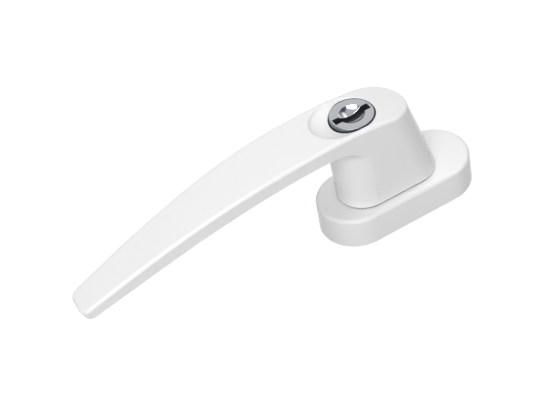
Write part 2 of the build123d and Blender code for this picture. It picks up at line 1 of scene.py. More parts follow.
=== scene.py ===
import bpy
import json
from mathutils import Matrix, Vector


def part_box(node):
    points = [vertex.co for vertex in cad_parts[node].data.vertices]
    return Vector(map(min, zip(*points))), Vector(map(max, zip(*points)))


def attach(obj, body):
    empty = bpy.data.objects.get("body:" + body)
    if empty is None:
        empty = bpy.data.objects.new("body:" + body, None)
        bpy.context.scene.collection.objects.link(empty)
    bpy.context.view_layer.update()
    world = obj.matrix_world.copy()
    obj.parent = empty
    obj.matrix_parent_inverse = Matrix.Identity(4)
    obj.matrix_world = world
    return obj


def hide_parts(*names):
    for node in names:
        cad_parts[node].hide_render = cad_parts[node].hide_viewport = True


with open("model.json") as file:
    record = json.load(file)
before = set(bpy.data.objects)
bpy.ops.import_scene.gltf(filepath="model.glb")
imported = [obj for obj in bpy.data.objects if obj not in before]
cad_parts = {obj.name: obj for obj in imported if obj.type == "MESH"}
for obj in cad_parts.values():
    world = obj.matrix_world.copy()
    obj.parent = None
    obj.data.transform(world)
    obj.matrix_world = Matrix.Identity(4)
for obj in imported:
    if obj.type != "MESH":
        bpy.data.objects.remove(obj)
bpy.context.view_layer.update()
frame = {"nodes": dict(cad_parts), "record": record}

import json
from math import cos, pi, radians, sin

import bmesh
import bpy
from mathutils import Matrix, Vector

nodes = frame["nodes"]
scene = bpy.context.scene
mm = 0.001
print("frame loaded:", len(nodes), "nodes")


# Camera, solved from the outlines of rosette, neck, lever and lock

view = {
    "yaw": radians(-19.34),
    "pitch": radians(44.23),
    "roll": radians(-13.59),
    "aside": 51.25 * mm,
    "up": 1.9732 * mm,
    "distance": 489.36 * mm,
    "lens": 80.14,  # lens and sensor in millimetres, as Blender counts them
    "sensorWidth": 36,
    "clipStart": 0.01,
    "clipEnd": 50,
}


def addCamera(view):
    back = Vector((
        sin(view["yaw"]) * cos(view["pitch"]),
        -cos(view["yaw"]) * cos(view["pitch"]),
        sin(view["pitch"]),
    ))
    right = Vector((cos(view["yaw"]), sin(view["yaw"]), 0))
    up = back.cross(right)
    turned = Matrix((right, up, back)).transposed() @ Matrix.Rotation(view["roll"], 3, "Z")
    place = turned @ Vector((-view["aside"], -view["up"], view["distance"]))
    data = bpy.data.cameras.new("photoCamera")
    data.lens = view["lens"]
    data.sensor_width = view["sensorWidth"]
    data.clip_start = view["clipStart"]
    data.clip_end = view["clipEnd"]
    camera = bpy.data.objects.new("photoCamera", data)
    camera.matrix_world = Matrix.Translation(place) @ turned.to_4x4()
    scene.collection.objects.link(camera)
    scene.camera = camera


addCamera(view)
print("camera placed")


# Shader groups, each built once and placed in the materials with its own values

def newGroup(name, inputs, outputs):
    group = bpy.data.node_groups.new(name, "ShaderNodeTree")
    for label, kind, default in inputs:
        socket = group.interface.new_socket(label, in_out="INPUT", socket_type=kind)
        socket.default_value = default
    for label in outputs:
        group.interface.new_socket(label, in_out="OUTPUT", socket_type="NodeSocketFloat")
    return group, group.nodes.new("NodeGroupInput"), group.nodes.new("NodeGroupOutput")


def feed(tree, socket, value):
    # Links a socket, or sets a plain value
    if isinstance(value, bpy.types.NodeSocket):
        tree.links.new(value, socket)
    else:
        socket.default_value = value


def addNode(tree, kind, settings=None, **values):
    # settings holds properties; values names inputs, or counts them as i0, i1 and so on
    node = tree.nodes.new(kind)
    for key, value in (settings or {}).items():
        setattr(node, key, value)
    for key, value in values.items():
        place = int(key[1:]) if key[0] == "i" and key[1:].isdigit() else key.replace("_", " ")
        feed(tree, node.inputs[place], value)
    return node


def putOut(group, sink, **values):
    for label, value in values.items():
        group.links.new(value, sink.inputs[label])


def noise(tree, place, scale, detail, roughness=0.5):
    node = addNode(tree, "ShaderNodeTexNoise", Vector=place, Scale=scale, Detail=detail,
                   Roughness=roughness)
    return node.outputs["Fac"]


def blend(tree, kind, first, second=0.0):
    return addNode(tree, "ShaderNodeMath", {"operation": kind}, i0=first, i1=second).outputs[0]


def combined(tree, **parts):
    return addNode(tree, "ShaderNodeCombineXYZ", **parts).outputs[0]


def separated(tree, place):
    return addNode(tree, "ShaderNodeSeparateXYZ", Vector=place).outputs


def remap(tree, value, low, high, newLow=0.0, newHigh=1.0, curve="SMOOTHSTEP"):
    node = addNode(tree, "ShaderNodeMapRange", {"interpolation_type": curve}, Value=value,
                   From_Min=low, From_Max=high, To_Min=newLow, To_Max=newHigh)
    return node.outputs["Result"]


coatGrain = {"peelScale": 900.0, "skinScale": 4000.0, "cloudScale": 45.0, "skinShare": 0.22}


def makeCoatGrain():
    # Powder coat: a soft orange-peel swell, a finer skin on it and a faint cloudiness
    group, source, sink = newGroup(
        "coatGrain",
        [
            ("Vector", "NodeSocketVector", (0, 0, 0)),
            ("Peel Scale", "NodeSocketFloat", coatGrain["peelScale"]),
            ("Skin Scale", "NodeSocketFloat", coatGrain["skinScale"]),
            ("Cloud Scale", "NodeSocketFloat", coatGrain["cloudScale"]),
        ],
        ["Height", "Cloud"],
    )
    place = source.outputs["Vector"]
    peel = noise(group, place, source.outputs["Peel Scale"], detail=1.0)
    skin = noise(group, place, source.outputs["Skin Scale"], detail=2.0)
    height = blend(group, "ADD", peel, blend(group, "MULTIPLY", skin, coatGrain["skinShare"]))
    cloud = noise(group, place, source.outputs["Cloud Scale"], detail=3.0)
    putOut(group, sink, Height=height, Cloud=cloud)
    return group


castGrain = {"pitScale": 1800.0, "pitEdge": (0.05, 0.28), "mottleScale": 160.0, "mottleShare": 0.5}


def makeCastGrain():
    # Die casting: fine pits, flow marks and grey mottling
    group, source, sink = newGroup(
        "castGrain",
        [
            ("Vector", "NodeSocketVector", (0, 0, 0)),
            ("Pit Scale", "NodeSocketFloat", castGrain["pitScale"]),
            ("Mottle Scale", "NodeSocketFloat", castGrain["mottleScale"]),
        ],
        ["Height", "Mottle", "Pits"],
    )
    place = source.outputs["Vector"]
    cells = addNode(group, "ShaderNodeTexVoronoi", Vector=place, Scale=source.outputs["Pit Scale"])
    pits = remap(group, cells.outputs["Distance"], *castGrain["pitEdge"])
    mottle = noise(group, place, source.outputs["Mottle Scale"], detail=5.0, roughness=0.6)
    height = blend(group, "ADD", pits, blend(group, "MULTIPLY", mottle, castGrain["mottleShare"]))
    putOut(group, sink, Height=height, Mottle=mottle, Pits=pits)
    return group


turnedGrain = {"ringScale": 5000.0, "breakScale": 300.0, "breakEdge": (0.3, 0.7), "faintest": 0.6}


def makeTurnedLines():
    # Fine rings left by a lathe tool about an upright axis, broken up along their length
    group, source, sink = newGroup(
        "turnedLines",
        [
            ("Vector", "NodeSocketVector", (0, 0, 0)),
            ("Ring Scale", "NodeSocketFloat", turnedGrain["ringScale"]),
            ("Break Scale", "NodeSocketFloat", turnedGrain["breakScale"]),
        ],
        ["Height", "Streak", "Radius"],
    )
    parts = separated(group, source.outputs["Vector"])
    squareX = blend(group, "MULTIPLY", parts["X"], parts["X"])
    squareY = blend(group, "MULTIPLY", parts["Y"], parts["Y"])
    radius = blend(group, "SQRT", blend(group, "ADD", squareX, squareY))
    along = blend(group, "ADD", radius, parts["Z"])
    rings = noise(group, combined(group, X=along), source.outputs["Ring Scale"], detail=3.0,
                  roughness=0.7)
    breaks = noise(group, source.outputs["Vector"], source.outputs["Break Scale"], detail=2.0)
    faded = remap(group, breaks, *turnedGrain["breakEdge"], turnedGrain["faintest"], 1.0)
    streak = blend(group, "MULTIPLY", rings, faded)
    putOut(group, sink, Height=rings, Streak=streak, Radius=radius)
    return group


brushedGrain = {"stretch": (40.0, 2500.0, 2500.0), "lineEdge": (0.35, 0.65), "spotScale": 220.0}


def makeBrushedLines():
    # Straight drawing or grinding lines along an axis: stretched noise
    group, source, sink = newGroup(
        "brushedLines",
        [
            ("Vector", "NodeSocketVector", (0, 0, 0)),
            ("Stretch", "NodeSocketVector", brushedGrain["stretch"]),
            ("Spot Scale", "NodeSocketFloat", brushedGrain["spotScale"]),
        ],
        ["Height", "Streak", "Spots"],
    )
    stretched = addNode(group, "ShaderNodeVectorMath", {"operation": "MULTIPLY"},
                        i0=source.outputs["Vector"], i1=source.outputs["Stretch"])
    lines = noise(group, stretched.outputs["Vector"], 1.0, detail=3.0, roughness=0.6)
    spots = noise(group, source.outputs["Vector"], source.outputs["Spot Scale"], detail=4.0,
                  roughness=0.55)
    streak = remap(group, lines, *brushedGrain["lineEdge"])
    putOut(group, sink, Height=lines, Streak=streak, Spots=spots)
    return group


grainGroups = {
    "coat": makeCoatGrain(),
    "cast": makeCastGrain(),
    "turned": makeTurnedLines(),
    "brushed": makeBrushedLines(),
}
print("shader groups built:", len(grainGroups))


# Materials, one function for each family of finish

def newMaterial(name, **plain):
    material = bpy.data.materials.new(name)
    material.use_nodes = True
    shader = material.node_tree.nodes["Principled BSDF"]
    for key, value in plain.items():
        shader.inputs[key.replace("_", " ")].default_value = value
    return material, material.node_tree, shader


def objectPlace(tree, centre=(0, 0, 0)):
    coordinates = tree.nodes.new("ShaderNodeTexCoord").outputs["Object"]
    if not any(centre):
        return coordinates
    shifted = addNode(tree, "ShaderNodeMapping", Vector=coordinates,
                      Location=[-part for part in centre])
    return shifted.outputs["Vector"]


def placeGroup(tree, group, **values):
    return addNode(tree, "ShaderNodeGroup", {"node_tree": group}, **values).outputs


def mixColours(tree, factor, first, second):
    # Of the mix node's sockets, 6 and 7 take the colours and 2 gives the result
    node = addNode(tree, "ShaderNodeMix", {"data_type": "RGBA"}, Factor=factor)
    for place, colour in ((6, first), (7, second)):
        plain = not isinstance(colour, bpy.types.NodeSocket)
        feed(tree, node.inputs[place], (*colour, 1) if plain else colour)
    return node.outputs[2]


def addBump(tree, shader, height, relief):
    bump = addNode(tree, "ShaderNodeBump", Height=height, Distance=relief, Strength=1.0)
    tree.links.new(bump.outputs["Normal"], shader.inputs["Normal"])


lockCentre = (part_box("lock_face")[0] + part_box("lock_face")[1]) / 2
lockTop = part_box("lock_face")[1].z
lockAxis = (lockCentre.x, lockCentre.y, 0)

coat = {
    "light": (0.905, 0.905, 0.908),
    "shade": (0.884, 0.886, 0.891),
    "gloss": (0.13, 0.17),
    "specular": 0.25,
    "peelScale": 900.0,
    "skinScale": 4200.0,
    "relief": 0.0011 * mm,
}
# Painted shade, near black: the gap under the foot's step and the lock's bore are darkened to look
# shadowed
castingPaintedShade = {
    "colour": (0.045, 0.046, 0.05),
    "gloss": 0.5,
    "footEdge": (14.28 * mm, 14.3 * mm),
    "boreEdge": (9.2 * mm, 9.23 * mm),
}


def makeWhiteCoat(name, coat, paintedShade=None):
    # The last argument, when given, paints near-black shade in place of the coat: on the foot's
    # step, the bearing collar and round the lock's bore
    material, tree, shader = newMaterial(name, Specular_IOR_Level=coat["specular"])
    place = objectPlace(tree)
    grain = placeGroup(tree, grainGroups["coat"], Vector=place,
                       Peel_Scale=coat["peelScale"], Skin_Scale=coat["skinScale"])
    colour = mixColours(tree, grain["Cloud"], coat["shade"], coat["light"])
    gloss = remap(tree, grain["Cloud"], 0.0, 1.0, *coat["gloss"], "LINEAR")
    if paintedShade:
        overFoot = remap(tree, separated(tree, place)["Z"], *paintedShade["footEdge"])
        turned = placeGroup(tree, grainGroups["turned"], Vector=objectPlace(tree, lockAxis))
        roundLock = remap(tree, turned["Radius"], *paintedShade["boreEdge"])
        # One where the coat shows, nought where the painted shade takes its place
        unshadedCoat = blend(tree, "MULTIPLY", overFoot, roundLock)
        colour = mixColours(tree, unshadedCoat, paintedShade["colour"], colour)
        gloss = remap(tree, unshadedCoat, 0.0, 1.0, paintedShade["gloss"], gloss, "LINEAR")
    tree.links.new(colour, shader.inputs["Base Color"])
    tree.links.new(gloss, shader.inputs["Roughness"])
    addBump(tree, shader, grain["Height"], coat["relief"])
    return material


castZinc = {
    "light": (0.62, 0.63, 0.65),
    "shade": (0.50, 0.51, 0.53),
    "pitShade": (0.30, 0.306, 0.318),
    "metallic": 0.85,
    "mottleEdge": (0.3, 0.7),
    "gloss": (0.37, 0.53),
    "relief": 0.02 * mm,
}


def makeCast(name, cast):
    material, tree, shader = newMaterial(name, Metallic=cast["metallic"])
    grain = placeGroup(tree, grainGroups["cast"], Vector=objectPlace(tree))
    mottled = mixColours(tree, grain["Mottle"], cast["shade"], cast["light"])
    colour = mixColours(tree, grain["Pits"], cast["pitShade"], mottled)
    gloss = remap(tree, grain["Mottle"], *cast["mottleEdge"], *cast["gloss"])
    tree.links.new(colour, shader.inputs["Base Color"])
    tree.links.new(gloss, shader.inputs["Roughness"])
    addBump(tree, shader, grain["Height"], cast["relief"])
    return material


brushedFinish = {"spotEdge": (0.55, 0.8), "glossEdge": (0.3, 0.7), "relief": 0.004 * mm}
brushedSteels = {
    "plated_steel": {
        "name": "platedSteel",
        "light": (0.74, 0.75, 0.76),
        "shade": (0.62, 0.63, 0.66),
        "gloss": (0.23, 0.35),
        "stretch": (2200.0, 2200.0, 60.0),
    },
    "spring_steel": {
        "name": "springSteel",
        "light": (0.42, 0.43, 0.46),
        "shade": (0.30, 0.31, 0.35),
        "gloss": (0.25, 0.37),
        "stretch": (60.0, 2600.0, 2600.0),
    },
    "black_steel": {
        "name": "blackSteel",
        "light": (0.085, 0.085, 0.09),
        "shade": (0.05, 0.05, 0.055),
        "gloss": (0.37, 0.49),
        "stretch": (900.0, 60.0, 900.0),
    },
}


def makeBrushed(name, light, shade, gloss, stretch):
    material, tree, shader = newMaterial(name, Metallic=1.0)
    grain = placeGroup(tree, grainGroups["brushed"], Vector=objectPlace(tree), Stretch=stretch)
    streaked = mixColours(tree, grain["Streak"], shade, light)
    spots = remap(tree, grain["Spots"], *brushedFinish["spotEdge"])
    roughness = remap(tree, grain["Spots"], *brushedFinish["glossEdge"], *gloss)
    tree.links.new(mixColours(tree, spots, streaked, shade), shader.inputs["Base Color"])
    tree.links.new(roughness, shader.inputs["Roughness"])
    addBump(tree, shader, grain["Height"], brushedFinish["relief"])
    return material


turnedFinish = {"glossEdge": (0.2, 0.7), "relief": 0.003 * mm}
turnedMetals = {
    "ground_steel": {
        "name": "groundSteel",
        "light": (0.68, 0.68, 0.69),
        "shade": (0.55, 0.55, 0.57),
        "gloss": (0.18, 0.30),
    },
    "brass": {
        "name": "machinedBrass",
        "light": (0.80, 0.64, 0.34),
        "shade": (0.68, 0.52, 0.25),
        "gloss": (0.23, 0.35),
    },
    # Dark colour painted as the slot's shade: the plug shows only through the lock's slot
    "black_brass": {
        "name": "slotShadeBrass",
        "light": (0.27, 0.285, 0.305),
        "shade": (0.21, 0.225, 0.24),
        "gloss": (0.46, 0.58),
    },
}


def makeTurned(name, light, shade, gloss):
    # Turned about the lock's axis
    material, tree, shader = newMaterial(name, Metallic=1.0)
    grain = placeGroup(tree, grainGroups["turned"], Vector=objectPlace(tree, lockAxis))
    streaked = mixColours(tree, grain["Streak"], shade, light)
    roughness = remap(tree, grain["Streak"], *turnedFinish["glossEdge"], *gloss)
    tree.links.new(streaked, shader.inputs["Base Color"])
    tree.links.new(roughness, shader.inputs["Roughness"])
    addBump(tree, shader, grain["Height"], turnedFinish["relief"])
    return material


chrome = {
    "ring": (0.86, 0.885, 0.945),
    "ringShade": (0.79, 0.81, 0.865),
    "dimple": (0.77, 0.80, 0.85),
    # Painted shade on the walls in the slot and painted dark reflection on the side wall outside
    "dark": (0.22, 0.235, 0.26),
    # A darker rim: painted dark reflection on the rounded edge of the face
    "rim": (0.3, 0.315, 0.35),
    "ringGloss": 0.34,
    "dimpleGloss": 0.13,
    "darkGloss": 0.42,
    "dimpleEdge": (5.23 * mm, 5.29 * mm),
    "rimEdge": (8.41 * mm, 8.54 * mm),
    "sideRadius": 8.5 * mm,
    "sideTop": -0.3 * mm,
    "slotHalfLength": 7.66 * mm,
    "slotHalfWidth": 1.615 * mm,
    "ringScale": 9000.0,
    "breakScale": 500.0,
    "relief": 0.0015 * mm,
}


def makeLockChrome(chrome):
    # Satin ring with turned lines, a polished dimple, a rim darkened as painted dark reflection,
    # painted shade on the walls in the slot and painted dark reflection on the walls outside
    material, tree, shader = newMaterial("lockChrome", Metallic=1.0)
    place = objectPlace(tree, (lockCentre.x, lockCentre.y, lockTop))
    grain = placeGroup(tree, grainGroups["turned"], Vector=place,
                       Ring_Scale=chrome["ringScale"], Break_Scale=chrome["breakScale"])
    parts = separated(tree, place)
    aside, ahead = blend(tree, "ABSOLUTE", parts["X"]), blend(tree, "ABSOLUTE", parts["Y"])
    inLength = blend(tree, "LESS_THAN", aside, chrome["slotHalfLength"])
    inWidth = blend(tree, "LESS_THAN", ahead, chrome["slotHalfWidth"])
    outside = blend(tree, "GREATER_THAN", grain["Radius"], chrome["sideRadius"])
    side = blend(tree, "MULTIPLY", outside, blend(tree, "LESS_THAN", parts["Z"], chrome["sideTop"]))
    # Mask of the painted shade in the slot and the painted dark reflection on the side wall
    dark = blend(tree, "MAXIMUM", blend(tree, "MULTIPLY", inLength, inWidth), side)
    ringArea = remap(tree, grain["Radius"], *chrome["dimpleEdge"])
    # Band of the rim's painted dark reflection
    rimShadeArea = remap(tree, grain["Radius"], *chrome["rimEdge"])
    ring = mixColours(tree, grain["Streak"], chrome["ringShade"], chrome["ring"])
    ring = mixColours(tree, rimShadeArea, ring, chrome["rim"])
    bright = mixColours(tree, ringArea, chrome["dimple"], ring)
    gloss = remap(tree, ringArea, 0.0, 1.0, chrome["dimpleGloss"], chrome["ringGloss"])
    gloss = remap(tree, dark, 0.0, 1.0, gloss, chrome["darkGloss"])
    tree.links.new(mixColours(tree, dark, bright, chrome["dark"]), shader.inputs["Base Color"])
    tree.links.new(gloss, shader.inputs["Roughness"])
    addBump(tree, shader, blend(tree, "MULTIPLY", grain["Height"], ringArea), chrome["relief"])
    return material


plastic = {
    "light": (0.87, 0.86, 0.82),
    "shade": (0.80, 0.785, 0.73),
    "gloss": 0.45,
    "peelScale": 1500.0,
    "relief": 0.003 * mm,
}


def makePlastic(name, plastic):
    material, tree, shader = newMaterial(name, Roughness=plastic["gloss"])
    grain = placeGroup(tree, grainGroups["coat"], Vector=objectPlace(tree),
                       Peel_Scale=plastic["peelScale"])
    colour = mixColours(tree, grain["Cloud"], plastic["shade"], plastic["light"])
    tree.links.new(colour, shader.inputs["Base Color"])
    addBump(tree, shader, grain["Height"], plastic["relief"])
    return material


finishes = {
    "white_coat": makeWhiteCoat("whiteCoat", coat),
    "zinc": makeCast("castZinc", castZinc),
    **{slot: makeBrushed(**steel) for slot, steel in brushedSteels.items()},
    **{slot: makeTurned(**metal) for slot, metal in turnedMetals.items()},
    "chrome": makeLockChrome(chrome),
    "bearing_plastic": makePlastic("bearingPlastic", plastic),
}
for row in frame["record"]["subparts"]:
    slots = nodes[row["node"]].data.materials
    slots.clear()
    slots.append(finishes[row["material_slot"]])
# The handle's coat, with painted shade at its foot and round the lock's bore
nodes["handle_casting"].data.materials[0] = makeWhiteCoat("handleCoat", coat, castingPaintedShade)
print("materials assigned:", len(finishes))


# Screws and springs, grown by Geometry Nodes in place of the plain solids

def newShapeGroup(name, sizes):
    # Each size becomes a named input of the tree, a count an integer one
    group = bpy.data.node_groups.new(name, "GeometryNodeTree")
    for label, default in sizes.items():
        kind = "NodeSocketInt" if isinstance(default, int) else "NodeSocketFloat"
        socket = group.interface.new_socket(label, in_out="INPUT", socket_type=kind)
        socket.default_value = default
    group.interface.new_socket("Geometry", in_out="OUTPUT", socket_type="NodeSocketGeometry")
    given = group.nodes.new("NodeGroupInput").outputs
    return group, given, group.nodes.new("NodeGroupOutput").inputs["Geometry"]


def joined(tree, *shapes):
    join = tree.nodes.new("GeometryNodeJoinGeometry")
    for shape in shapes:
        tree.links.new(shape, join.inputs[0])
    return join.outputs[0]


def cut(tree, body, *tools):
    knife = addNode(tree, "GeometryNodeMeshBoolean", {"operation": "DIFFERENCE", "solver": "EXACT"},
                    Mesh_1=body)
    for tool in tools:
        tree.links.new(tool, knife.inputs["Mesh 2"])
    return knife.outputs["Mesh"]


def moved(tree, shape, **places):
    return addNode(tree, "GeometryNodeTransform", Geometry=shape, **places).outputs[0]


def ownPlace(tree):
    return separated(tree, tree.nodes.new("GeometryNodeInputPosition").outputs[0])


threadedRodSizes = {
    "Outer Radius": 2.5 * mm,
    "Root Radius": 2.0 * mm,
    "Tip Radius": 1.8 * mm,
    "Pitch": 0.8 * mm,
    "Length": 25.0 * mm,
    "Sides": 28,
    "Rows Each Turn": 8,
    "Flat Share": 0.06,  # of a pitch, on each side of the crest and of the root
}
rowAllowance = 0.01  # keeps a whole number of rows from being rounded up
rodWeld = 0.002 * mm


def makeThreadedRod():
    # A grid rolled round Z: its radius follows the thread, and both ends are cut by a cone
    group, given, result = newShapeGroup("threadedRod", threadedRodSizes)
    lengthened = blend(group, "ADD", given["Length"], given["Pitch"])
    wanted = blend(group, "DIVIDE", lengthened, given["Pitch"])
    steps = blend(group, "MULTIPLY", wanted, given["Rows Each Turn"])
    rows = blend(group, "CEIL", blend(group, "SUBTRACT", steps, rowAllowance))
    turns = blend(group, "DIVIDE", rows, given["Rows Each Turn"])
    span = blend(group, "MULTIPLY", turns, given["Pitch"])
    grid = addNode(group, "GeometryNodeMeshGrid", Size_X=1.0, Size_Y=1.0,
                   Vertices_X=blend(group, "ADD", given["Sides"], 1.0),
                   Vertices_Y=blend(group, "ADD", rows, 1.0))
    place = ownPlace(group)
    around = blend(group, "ADD", place["X"], 0.5)
    along = blend(group, "ADD", place["Y"], 0.5)
    climb = blend(group, "MULTIPLY", blend(group, "SUBTRACT", around, 1.0), given["Pitch"])
    level = blend(group, "ADD", blend(group, "MULTIPLY", along, span), climb)
    height = addNode(group, "ShaderNodeClamp", Value=level, Min=0.0, Max=given["Length"]).outputs[0]
    wave = blend(group, "PINGPONG", blend(group, "MULTIPLY", along, turns), 0.5)
    crest = blend(group, "SUBTRACT", 0.5, given["Flat Share"])
    flank = remap(group, wave, given["Flat Share"], crest, given["Root Radius"],
                  given["Outer Radius"], "LINEAR")
    tipCone = blend(group, "ADD", given["Tip Radius"], height)
    toEnd = blend(group, "SUBTRACT", given["Length"], height)
    endCone = blend(group, "ADD", given["Root Radius"], toEnd)
    radius = blend(group, "MINIMUM", flank, blend(group, "MINIMUM", tipCone, endCone))
    angle = blend(group, "MULTIPLY", around, 2 * pi)
    rolled = combined(
        group,
        X=blend(group, "MULTIPLY", radius, blend(group, "COSINE", angle)),
        Y=blend(group, "MULTIPLY", radius, blend(group, "SINE", angle)),
        Z=height,
    )
    wall = addNode(group, "GeometryNodeSetPosition", Geometry=grid.outputs["Mesh"], Position=rolled)
    caps = []
    for edge, lift in (("Tip Radius", 0.0), ("Root Radius", given["Length"])):
        cap = addNode(group, "GeometryNodeMeshCircle", {"fill_type": "NGON"},
                      Vertices=given["Sides"], Radius=given[edge])
        caps.append(moved(group, cap.outputs[0], Translation=combined(group, Z=lift)))
    closed = addNode(group, "GeometryNodeMergeByDistance",
                     Geometry=joined(group, wall.outputs[0], *caps), Distance=rodWeld)
    group.links.new(closed.outputs[0], result)
    return group


sunkHeadSizes = {
    "Head Radius": 4.6 * mm,
    "Shank Radius": 2.2 * mm,
    "Rim Height": 0.25 * mm,
    "Cross Length": 4.6 * mm,
    "Cross Width": 0.9 * mm,
    "Cross Depth": 1.7 * mm,
    "Taper Depth": 2.0 * mm,  # at which the cross is narrowed to its Taper Share
    "Taper Share": 0.35,
    "Sides": 64,
}
headOverlap = 0.001 * mm


def makeSunkHead():
    # A 90 degree countersunk head, its flat face at z = 0, with a tapered cross recess
    group, given, result = newShapeGroup("sunkHead", sunkHeadSizes)
    rim = addNode(group, "GeometryNodeMeshCylinder", Vertices=given["Sides"],
                  Radius=given["Head Radius"], Depth=given["Rim Height"])
    rimPlace = combined(group, Z=blend(group, "MULTIPLY", given["Rim Height"], -0.5))
    rim = moved(group, rim.outputs["Mesh"], Translation=rimPlace)
    fall = blend(group, "SUBTRACT", given["Head Radius"], given["Shank Radius"])
    cone = addNode(group, "GeometryNodeMeshCone", Vertices=given["Sides"],
                   Radius_Top=given["Head Radius"], Radius_Bottom=given["Shank Radius"], Depth=fall)
    coneLevel = blend(group, "MULTIPLY", blend(group, "ADD", given["Rim Height"], fall), -1.0)
    conePlace = combined(group, Z=blend(group, "ADD", coneLevel, headOverlap))
    cone = moved(group, cone.outputs["Mesh"], Translation=conePlace)
    head = addNode(group, "GeometryNodeMeshBoolean", {"operation": "UNION", "solver": "EXACT"})
    group.links.new(rim, head.inputs["Mesh 2"])
    group.links.new(cone, head.inputs["Mesh 2"])
    deep = blend(group, "MULTIPLY", given["Cross Depth"], 2.0)
    place = ownPlace(group)
    lowest = blend(group, "MULTIPLY", given["Taper Depth"], -1.0)
    narrowing = remap(group, place["Z"], lowest, 0.0, given["Taper Share"], 1.0, "LINEAR")
    narrow = combined(
        group,
        X=blend(group, "MULTIPLY", place["X"], narrowing),
        Y=blend(group, "MULTIPLY", place["Y"], narrowing),
        Z=place["Z"],
    )
    arms = []
    for wide, long in (("Cross Width", "Cross Length"), ("Cross Length", "Cross Width")):
        size = combined(group, X=given[long], Y=given[wide], Z=deep)
        bar = addNode(group, "GeometryNodeMeshCube", Size=size).outputs["Mesh"]
        arm = addNode(group, "GeometryNodeSetPosition", Geometry=bar, Position=narrow)
        arms.append(arm.outputs[0])
    group.links.new(cut(group, head.outputs["Mesh"], *arms), result)
    return group


threadedRod = makeThreadedRod()
sunkHead = makeSunkHead()


def placeShape(tree, group, **values):
    return addNode(tree, "GeometryNodeGroup", {"node_tree": group}, **values).outputs["Geometry"]


def instancedRow(tree, shape, count, first, step, turn):
    points = addNode(tree, "GeometryNodeMeshLine", Count=count, Start_Location=first, Offset=step)
    row = addNode(tree, "GeometryNodeInstanceOnPoints", Points=points.outputs[0], Instance=shape,
                  Rotation=turn)
    return row.outputs[0]


def screwPair(tree, given, screw, level):
    # One screw on each side of the spindle, the second with its cross turned
    first = combined(tree, X=blend(tree, "MULTIPLY", given["Spacing"], -0.5), Z=level)
    index = tree.nodes.new("GeometryNodeInputIndex").outputs[0]
    turn = combined(tree, Z=blend(tree, "MULTIPLY", index, given["Cross Turn"]))
    return instancedRow(tree, screw, 2, first, combined(tree, X=given["Spacing"]), turn)


def finishTree(tree, shape, result, finish):
    # Every tree ends in real geometry with its material
    real = addNode(tree, "GeometryNodeRealizeInstances", Geometry=shape)
    dressed = addNode(tree, "GeometryNodeSetMaterial", Geometry=real.outputs[0], Material=finish)
    tree.links.new(dressed.outputs[0], result)


pieceWeld = 0.0005 * mm


def growPiece(name, tree, sizes, node, body, smoothAngle=35):
    # Runs the tree once and keeps its mesh as a plain piece that rides on a body
    seed = bpy.data.objects.new(name + "Seed", bpy.data.meshes.new(name + "Seed"))
    scene.collection.objects.link(seed)
    modifier = seed.modifiers.new(name, "NODES")
    modifier.node_group = tree
    for item in tree.interface.items_tree:
        if item.item_type == "SOCKET" and item.in_out == "INPUT":
            modifier[item.identifier] = sizes[item.name]
    grown = seed.evaluated_get(bpy.context.evaluated_depsgraph_get())
    mesh = bpy.data.meshes.new_from_object(grown)
    mesh.name = name
    seed.modifiers.remove(modifier)
    bpy.data.objects.remove(seed)
    shell = bmesh.new()
    shell.from_mesh(mesh)
    bmesh.ops.remove_doubles(shell, verts=shell.verts, dist=pieceWeld)
    bmesh.ops.recalc_face_normals(shell, faces=shell.faces)
    shell.to_mesh(mesh)
    shell.free()
    mesh.shade_smooth()
    mesh.set_sharp_from_angle(angle=radians(smoothAngle))
    piece = bpy.data.objects.new(name, mesh)
    scene.collection.objects.link(piece)
    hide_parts(node)
    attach(piece, body)
    print("piece grown:", name, len(mesh.vertices), "vertices")


fixingScrew = {
    "Spacing": 43.0 * mm,
    "Face Level": 11.4 * mm,
    "Screw Length": 40.0 * mm,
    "Shank Radius": 2.2 * mm,
    "Shank Start": 1.5 * mm,  # from the head's face
    "Shank Sides": 48,
    "Thread Length": 25.4 * mm,
    "Tip Radius": 1.9 * mm,
    "Cross Turn": radians(37),
}


def makeFixingScrews():
    tree, given, result = newShapeGroup("fixingScrews", fixingScrew)
    thread = placeShape(tree, threadedRod, Length=given["Thread Length"],
                        Tip_Radius=given["Tip Radius"])
    tipLevel = blend(tree, "MULTIPLY", given["Screw Length"], -1.0)
    thread = moved(tree, thread, Translation=combined(tree, Z=tipLevel))
    plain = blend(tree, "SUBTRACT", given["Screw Length"], given["Thread Length"])
    shank = addNode(tree, "GeometryNodeMeshCylinder", Vertices=given["Shank Sides"],
                    Radius=given["Shank Radius"],
                    Depth=blend(tree, "SUBTRACT", plain, given["Shank Start"]))
    shankLevel = blend(tree, "MULTIPLY", blend(tree, "ADD", plain, given["Shank Start"]), -0.5)
    shank = moved(tree, shank.outputs["Mesh"], Translation=combined(tree, Z=shankLevel))
    head = placeShape(tree, sunkHead, Shank_Radius=given["Shank Radius"])
    pair = screwPair(tree, given, joined(tree, head, shank, thread), given["Face Level"])
    finishTree(tree, pair, result, finishes["plated_steel"])
    return tree


growPiece("fixingScrewsThreaded", makeFixingScrews(), fixingScrew,
          "fixing_screws", "rosette")

plateScrew = {
    "Spacing": 25.8 * mm,
    "Screw Length": 4.6 * mm,
    "Outer Radius": 1.25 * mm,
    "Root Radius": 0.95 * mm,
    "Tip Radius": 0.85 * mm,
    "Pitch": 0.45 * mm,
    "Thread Start": 1.2 * mm,  # from the head's face
    "Head Radius": 2.35 * mm,
    "Shank Radius": 1.0 * mm,
    "Rim Height": 0.12 * mm,
    "Cross Length": 2.5 * mm,
    "Cross Width": 0.5 * mm,
    "Cross Depth": 0.9 * mm,
    "Cross Turn": radians(62),
}


